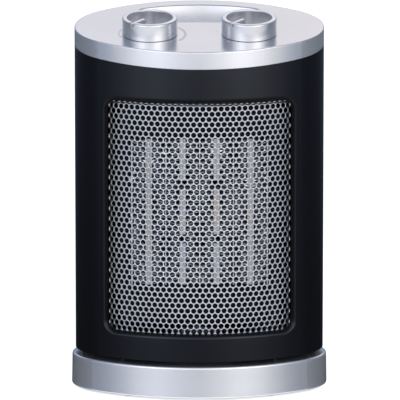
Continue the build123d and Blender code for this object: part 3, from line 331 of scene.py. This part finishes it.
def lamination():
    """Stack of thin punched sheets, edges showing along Y."""
    t = Tree("lamination").set(Metallic=1.0)
    sheet = t.wave(320.0, "Y")
    grain = t.noise(700.0, 3.0, 0.6)
    base = t.ramp(sheet, [(0.05, (0.10, 0.10, 0.11)), (0.35, (0.30, 0.30, 0.31)), (0.95, (0.38, 0.38, 0.39))])
    tone = t.ramp(grain, [(0.3, (0.80, 0.79, 0.77)), (0.7, (1.0, 1.0, 1.0))])
    t.put("Base Color", t.mix(1.0, base, tone, "MULTIPLY"))
    t.put("Roughness", t.span(grain, 0.38, 0.52, 0.25, 0.75))
    t.bump(sheet, 0.35, 0.0001)
    return t.mat


def winding():
    """Enamelled wire laid turn by turn along X."""
    t = Tree("winding").set(Metallic=0.75, Coat_Weight=0.4, Coat_Roughness=0.15)
    turn = t.wave(480.0, "X", distortion=0.4)
    tone = t.noise(120.0, 3.0, 0.6)
    base = t.ramp(turn, [(0.02, (0.12, 0.04, 0.015)), (0.45, (0.50, 0.22, 0.085)), (0.95, (0.66, 0.33, 0.14))])
    shade = t.ramp(tone, [(0.3, (0.82, 0.80, 0.78)), (0.7, (1.0, 1.0, 1.0))])
    t.put("Base Color", t.mix(1.0, base, shade, "MULTIPLY"))
    t.put("Roughness", t.span(tone, 0.28, 0.42, 0.25, 0.75))
    t.bump(turn, 0.6, 0.00012)
    return t.mat


def wire():
    """Silicone insulation in two colours, told apart by which side it runs on."""
    t = Tree("wire").set(Specular_IOR_Level=0.35)
    xyz = t.separate()
    side = t.span(xyz[0], 0.0, 1.0, -0.045, -0.040)
    grain = t.noise(900.0, 3.0, 0.6)
    base = t.mix(side, (0.060, 0.045, 0.035), (0.045, 0.085, 0.20))
    tone = t.ramp(grain, [(0.3, (0.86, 0.86, 0.86)), (0.7, (1.0, 1.0, 1.0))])
    t.put("Base Color", t.mix(1.0, base, tone, "MULTIPLY"))
    t.put("Roughness", t.span(grain, 0.45, 0.60, 0.25, 0.75))
    t.bump(grain, 0.12, 0.00008)
    return t.mat


def print_ink():
    """Grey screen print, a little broken at its edges."""
    t = Tree("print_ink").set(Specular_IOR_Level=0.35, Metallic=0.80)
    cover = t.noise(1800.0, 3.0, 0.7)
    t.put("Base Color", t.ramp(cover, [(0.30, (0.60, 0.60, 0.635)), (0.70, (0.70, 0.70, 0.735))]))
    t.put("Roughness", t.span(cover, 0.24, 0.36, 0.25, 0.75))
    t.bump(cover, 0.10, 0.00003)
    return t.mat


M["grille_steel"] = grille_steel()
M["ptc_ceramic"] = ptc_ceramic()
M["fin_aluminium"] = fin_aluminium()
M["lamination"] = lamination()
M["copper"] = winding()
M["wire"] = wire()
INK = print_ink()

for part in frame["record"]["subparts"]:
    ob = nodes[part["node"]]
    mat = M[part["material_slot"]]
    if not ob.material_slots:
        ob.data.materials.append(mat)
    for s in ob.material_slots:
        s.material = mat

# the can of the swivel's gear motor gets near-black steel in place of its zinc-plated slot: painted shade where it
# shows
SHADE_DARK_CAN = metal("can_painted_shade", (0.035, 0.035, 0.039), (0.060, 0.060, 0.065), 0.46, (1, 1, 1), 1100.0)
for s in nodes["osc_motor"].material_slots:
    s.material = SHADE_DARK_CAN


# ------------------------------------------------------------------
# Perforated sheet: one smooth bend, each hole with a rolled punch edge
# ------------------------------------------------------------------
def perforated_sheet():
    R, T, A, B = 102.0, 0.8, 4.15, 3.55
    rows, cols, top = 45, 34, 202.65
    z_lo, z_hi = 41.0, 206.4
    bend = 1.05                               # radius of the edges turned back into the frame
    s_flat, z_flat = 65.6, 201.0
    per_v, per_s = 2, 3                       # points along a cell's upright and slanted sides
    yi, yo = (B * B - A * A / 4) / (2 * B), (B * B + A * A / 4) / (2 * B)
    corner = [(A / 2, -yi), (A / 2, yi), (0, yo), (-A / 2, yi), (-A / 2, -yi), (0, -yo)]
    ring = []
    for k in range(6):
        (x0, y0), (x1, y1) = corner[k], corner[(k + 1) % 6]
        m = per_s if k % 3 else per_v
        ring += [(x0 + (x1 - x0) * i / m, y0 + (y1 - y0) * i / m) for i in range(m)]
    ring = np.array(ring)
    n = len(ring)
    turn = np.arctan2(ring[:, 1], ring[:, 0])
    unit = np.stack([np.cos(turn), np.sin(turn)], 1)
    profile = [(1.88, 0.04), (1.75, 0.22), (1.72, T)]

    def turned(t):
        """Length t past the start of a bend: how far it still runs on, and how far back."""
        if t <= 0:
            return t, 0.0, 0.0
        a = min(t / bend, math.radians(84))
        rest = t - a * bend
        return bend * math.sin(a) + rest * math.cos(a), bend * (1 - math.cos(a)) + rest * math.sin(a), a

    verts, faces, seen = [], [], {}

    def vertex(s, z, d):
        """d millimetres behind the front face; shared where cells meet."""
        key = (round(s * 2000), round(z * 2000), round(d * 2000))
        if key not in seen:
            run, back_s, turn_s = turned(abs(s) - s_flat)
            rise, back_z, turn_z = turned(z - z_flat)
            # thickness goes along the turned normal
            run -= d * math.sin(turn_s)
            rise -= d * math.sin(turn_z)
            depth = back_s + back_z + d * math.cos(turn_s) * math.cos(turn_z)
            a = math.copysign(s_flat + run, s) / R
            r = R - depth
            seen[key] = len(verts)
            verts.append((r * math.sin(a) * MM, (FY - r * math.cos(a)) * MM, (z_flat + rise) * MM))
        return seen[key]

    for j in range(rows):
        count = cols - 2 if j % 2 else cols - 1
        zc = top - j * B
        for k in range(count):
            sc = (k - (count - 1) / 2) * A
            front = [vertex(sc + x, zc + y, 0.0) for x, y in ring]
            back = [vertex(sc + x, zc + y, T) for x, y in ring]
            loops = [front]
            for r, d in profile:
                loops.append([vertex(sc + r * x, zc + r * y, d) for x, y in unit])
            loops.append(back)
            for a, b in zip(loops, loops[1:]):
                for i in range(n):
                    i2 = (i + 1) % n
                    faces.append((a[i], a[i2], b[i2], b[i]))

    s_end = 69.2

    def side_chain(sign):
        """Zigzag edge of the cells at one end, from bottom to top."""
        chain = []
        for j in range(rows - 1, -1, -1):
            count = cols - 2 if j % 2 else cols - 1
            zc, sc = top - j * B, sign * (count - 1) / 2 * A
            part = [(sc + sign * A / 2, zc - yi + 2 * yi * i / per_v) for i in range(per_v + 1)]
            if chain:
                x0, y0 = chain[-1]
                x1, y1 = part[0]
                chain += [(x0 + (x1 - x0) * i / per_s, y0 + (y1 - y0) * i / per_s) for i in range(1, per_s)]
            chain += part
        return chain

    def end_chain(up):
        """Zigzag edge along the first or last row, from left to right."""
        j = 0 if up else rows - 1
        count = cols - 2 if j % 2 else cols - 1
        zc, sg = top - j * B, 1 if up else -1
        chain = []
        for k in range(count):
            sc = (k - (count - 1) / 2) * A
            a, b, c = (sc - A / 2, zc + sg * yi), (sc, zc + sg * yo), (sc + A / 2, zc + sg * yi)
            half = [(a[0] + (b[0] - a[0]) * i / per_s, a[1] + (b[1] - a[1]) * i / per_s) for i in range(per_s)]
            half += [(b[0] + (c[0] - b[0]) * i / per_s, b[1] + (c[1] - b[1]) * i / per_s) for i in range(per_s)]
            chain += half
            if k == count - 1:
                chain.append(c)
        return chain

    loops = []
    for d in (0.0, T):
        flip = d > 0

        def quad(a, b, c, e):
            f = [vertex(*p, d) for p in (a, b, c, e)]
            f = [v for i, v in enumerate(f) if v != f[i - 1]]
            if len(f) > 2:
                faces.append(tuple(reversed(f)) if flip else tuple(f))

        left, right = side_chain(-1), side_chain(1)
        up, low = end_chain(True), end_chain(False)
        for p, q in zip(right, right[1:]):
            quad(p, (s_end, p[1]), (s_end, q[1]), q)
        for p, q in zip(left, left[1:]):
            quad((-s_end, p[1]), p, q, (-s_end, q[1]))
        for p, q in zip(up, up[1:]):
            quad(p, q, (q[0], z_hi), (p[0], z_hi))
        for p, q in zip(low, low[1:]):
            quad((p[0], z_lo), (q[0], z_lo), q, p)
        quad(right[-1], (s_end, right[-1][1]), (s_end, z_hi), (right[-1][0], z_hi))
        quad((-s_end, left[-1][1]), left[-1], (left[-1][0], z_hi), (-s_end, z_hi))
        quad((right[0][0], z_lo), (s_end, z_lo), (s_end, right[0][1]), right[0])
        quad((-s_end, z_lo), (left[0][0], z_lo), left[0], (-s_end, left[0][1]))
        edge = [(-s_end, z_lo)] + [(p[0], z_lo) for p in low] + [(s_end, z_lo)]
        edge += [(s_end, p[1]) for p in right] + [(s_end, z_hi)]
        edge += [(p[0], z_hi) for p in reversed(up)] + [(-s_end, z_hi)]
        edge += [(-s_end, p[1]) for p in reversed(left)]
        loop = []
        for p in edge:
            v = vertex(*p, d)
            if v not in loop[-1:] and v != (loop[0] if loop else None):
                loop.append(v)
        loops.append(loop)
    a, b = loops
    for i in range(len(a)):
        i2 = (i + 1) % len(a)
        faces.append((a[i2], a[i], b[i], b[i2]))
    ob = link("grille_sheet", verts, faces)
    ob.data.set_sharp_from_angle(angle=math.radians(50))
    ob.data.materials.append(M["grille_steel"])
    return ob


sheet = perforated_sheet()
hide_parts("grille")
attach(sheet, "head")


# ------------------------------------------------------------------
# Printed dial marks on the top panel
# ------------------------------------------------------------------
def print_shape(verts, faces, outline, thick=0.05):
    """Adds a closed thin plate to a mesh: outline is a list of strips of (inner, outer) points."""
    for strip, closed in outline:
        first = len(verts)
        for (u0, v0), (u1, v1) in strip:
            for u, v, h in ((u0, v0, 0.0), (u1, v1, 0.0), (u1, v1, thick), (u0, v0, thick)):
                verts.append(panel(u, v, h + 0.004))
        m = len(strip)
        for i in range(m if closed else m - 1):
            a, b = first + 4 * i, first + 4 * ((i + 1) % m)
            for k in range(4):
                faces.append((a + k, a + (k + 1) % 4, b + (k + 1) % 4, b + k))
        if not closed:
            faces.append((first + 3, first + 2, first + 1, first))
            e = first + 4 * (m - 1)
            faces.append((e, e + 1, e + 2, e + 3))


def band(cx, cy, a0, a1, r0, r1, steps):
    """Arc band with radii r0(t), r1(t) from angle a0 to a1, degrees."""
    strip = []
    for i in range(steps + 1):
        t = i / steps
        a = math.radians(a0 + (a1 - a0) * t)
        c, s = math.cos(a), math.sin(a)
        strip.append(((cx + r0(t) * c, cy + r0(t) * s), (cx + r1(t) * c, cy + r1(t) * s)))
    return strip


def disc(cx, cy, r0, r1, steps=28):
    strip = []
    for i in range(steps):
        a = 2 * math.pi * i / steps
        c, s = math.cos(a), math.sin(a)
        strip.append(((cx + r0 * c, cy + r0 * s), (cx + r1 * c, cy + r1 * s)))
    return strip


def dial_marks():
    verts, faces = [], []
    cx, cy = -KNOB_X, KNOB_V
    # heat scale round the thermostat: one line that grows from thin to thick
    a0, a1 = POINTER - 22, POINTER - 265
    inner = lambda t: 20.2 + 3.6 * t
    shapes = [(band(cx, cy, a0, a1, inner, lambda t: inner(t) + 0.65 + 1.15 * t, 140), False)]
    # four switch positions: open ring, then one, two and three dots
    cx = KNOB_X
    for k in range(4):
        a = POINTER - 60 * k
        if k == 0:
            c, s = math.cos(math.radians(a)), math.sin(math.radians(a))
            shapes.append((disc(cx + 22.4 * c, cy + 22.4 * s, 0.55, 0.95), True))
        for d in range(k):
            b = math.radians(a + (d - (k - 1) / 2) * 4.6)
            shapes.append((disc(cx + 22.4 * math.cos(b), cy + 22.4 * math.sin(b), 0.12, 0.62, 20), True))
    print_shape(verts, faces, shapes)
    ob = link("dial_marks", verts, faces, smooth=False)
    ob.data.materials.append(INK)
    return ob


marks = dial_marks()
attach(marks, "head")

# ------------------------------------------------------------------
# Stage, light and camera
# ------------------------------------------------------------------
floor = link("floor", [(-9, -9, 0), (9, -9, 0), (9, 9, 0), (-9, 9, 0)], [(0, 1, 2, 3)], smooth=False)
ft = Tree("floor_paper").set(Roughness=0.9, Specular_IOR_Level=0.1)
paper = ft.noise(40.0, 3.0, 0.5)
ft.put("Base Color", ft.ramp(paper, [(0.3, (0.885, 0.885, 0.885)), (0.7, (0.90, 0.90, 0.90))]))
ft.p.inputs["Emission Color"].default_value = (1, 1, 1, 1)
ft.p.inputs["Emission Strength"].default_value = 0.74
floor.data.materials.append(ft.mat)
floor.visible_glossy = False

world = bpy.data.worlds.new("studio")
scene.world = world
world.use_nodes = True
wt = world.node_tree
wt.nodes.clear()
w_out = wt.nodes.new("ShaderNodeOutputWorld")
w_bg = wt.nodes.new("ShaderNodeBackground")
wt.links.new(w_bg.outputs[0], w_out.inputs[0])
w_dir = wt.nodes.new("ShaderNodeSeparateXYZ")
wt.links.new(wt.nodes.new("ShaderNodeTexCoord").outputs["Generated"], w_dir.inputs[0])


def w_step(source, f0, f1, lo=0.0, hi=1.0):
    m = wt.nodes.new("ShaderNodeMapRange")
    m.interpolation_type = "SMOOTHSTEP"
    for key, v in (("From Min", f0), ("From Max", f1), ("To Min", lo), ("To Max", hi)):
        m.inputs[key].default_value = v
    wt.links.new(source, m.inputs["Value"])
    return m.outputs[0]


def w_math(op, a, b=None):
    m = wt.nodes.new("ShaderNodeMath")
    m.operation = op
    for k, v in enumerate((a, b)):
        if v is None:
            continue
        if isinstance(v, (int, float)):
            m.inputs[k].default_value = v
        else:
            wt.links.new(v, m.inputs[k])
    return m.outputs[0]


def w_curve(source, stops):
    """Smooth level through (position, value) stops, positions 0 to 1."""
    r = wt.nodes.new("ShaderNodeValToRGB")
    r.color_ramp.interpolation = "EASE"
    e = r.color_ramp.elements
    while len(e) < len(stops):
        e.new(0.5)
    for k, (pos, v) in enumerate(stops):
        e[k].position = pos
        e[k].color = (v, v, v, 1.0)
    wt.links.new(source, r.inputs[0])
    return r.outputs[0]


dx, dy, dz = w_dir.outputs
turn = w_math("ARCTAN2", dx, w_math("MULTIPLY", dy, -1.0))                     # 0 in front, positive to +X
away = w_math("DIVIDE", w_math("ABSOLUTE", turn), math.pi)
height = w_math("MULTIPLY_ADD", dz, 0.5)
height.node.inputs[2].default_value = 0.5
# two wide soft banks of light at the front, dark flanks, pale backdrop
banks = w_curve(away, [(a / 180.0, v) for a, v in
                       ((0, 0.60), (14, 0.75), (30, 1.0), (43, 0.86), (56, 0.54), (71, 0.26), (86, 0.106), (100, 0.080),
                        (140, 0.070), (164, 0.10), (180, 0.12))])
# their lower edge lies just below the horizon; the ceiling is dark
lift = w_curve(height, [((math.sin(math.radians(a)) + 1) / 2, v) for a, v in
                        ((-40, 0.03), (-20, 0.04), (-14, 0.06), (-11.8, 0.10), (-10.2, 0.24), (-9.2, 0.41), (-8, 0.74), (-3, 0.96),
                         (5, 1.0), (28, 1.0), (48, 0.40), (68, 0.16))])
gain = w_step(turn, -0.5, 0.5, 0.94, 1.04)
level = w_math("MULTIPLY", w_math("MULTIPLY", w_math("MULTIPLY", banks, lift), gain), 1.93)
over = w_math("MULTIPLY", w_step(dz, 0.16, 0.42), w_step(dy, 0.05, 0.55))      # bright wall high at the back
over = w_math("MULTIPLY", over, w_step(w_math("ABSOLUTE", dx), 0.30, 0.75, 1.0, 0.25))
over = w_math("MULTIPLY", over, w_step(dx, -0.3, 0.3, 0.82, 1.03))
level = w_math("MAXIMUM", level, w_math("MULTIPLY", over, 0.97))
level = w_math("MAXIMUM", level, w_step(dz, 0.5, 0.8, 0.0, 0.34))
table = w_math("MULTIPLY", w_step(dz, -0.27, -0.42, 0.0, 1.15), w_step(dy, 0.3, -0.2, 0.35, 1.0))
level = w_math("MAXIMUM", level, table)                                        # lit table top, seen from above
tint = wt.nodes.new("ShaderNodeMix")
tint.data_type = "RGBA"
tint.inputs[6].default_value = (0.66, 0.88, 1.24, 1.0)
tint.inputs[7].default_value = (1.0, 0.985, 0.99, 1.0)
wt.links.new(w_step(level, 0.10, 0.85), tint.inputs[0])
cool = wt.nodes.new("ShaderNodeMix")
cool.data_type = "RGBA"
cool.blend_type = "MULTIPLY"
cool.inputs[7].default_value = (0.955, 0.985, 1.05, 1.0)
wt.links.new(w_step(turn, 0.35, -0.35), cool.inputs[0])
wt.links.new(tint.outputs[2], cool.inputs[6])
warm = wt.nodes.new("ShaderNodeMix")
warm.data_type = "RGBA"
warm.blend_type = "MULTIPLY"
warm.inputs[7].default_value = (1.0, 0.968, 0.985, 1.0)
wt.links.new(over, warm.inputs[0])
wt.links.new(cool.outputs[2], warm.inputs[6])
wt.links.new(warm.outputs[2], w_bg.inputs["Color"])
wt.links.new(level, w_bg.inputs["Strength"])

T0 = Vector((0, 0, 0.120))
AZ, EL, DIST = math.radians(-0.41), math.radians(10.01), 3.4
back = Vector((math.sin(AZ) * math.cos(EL), -math.cos(AZ) * math.cos(EL), math.sin(EL)))
right = Vector((math.cos(AZ), math.sin(AZ), 0))
up = back.cross(right)
F = 1.4593                                   # pixels per millimetre at the target
aim = T0 + right * ((200.0 - 199.27) / F * MM) + up * ((212.21 - 200.0) / F * MM)
cam = bpy.data.cameras.new("camera")
cam.sensor_width = 36.0
cam.lens = F * DIST * 1000 * 36.0 / 400.0
cam.clip_start, cam.clip_end = 0.1, 60.0
cam_ob = bpy.data.objects.new("camera", cam)
cam_ob.location = T0 + back * DIST
cam_ob.rotation_mode = "QUATERNION"
cam_ob.rotation_quaternion = (aim - cam_ob.location).to_track_quat("-Z", "Y")
scene.collection.objects.link(cam_ob)
scene.camera = cam_ob

scene.view_settings.view_transform = "Standard"
scene.view_settings.look = "None"
scene.view_settings.exposure = 0.0
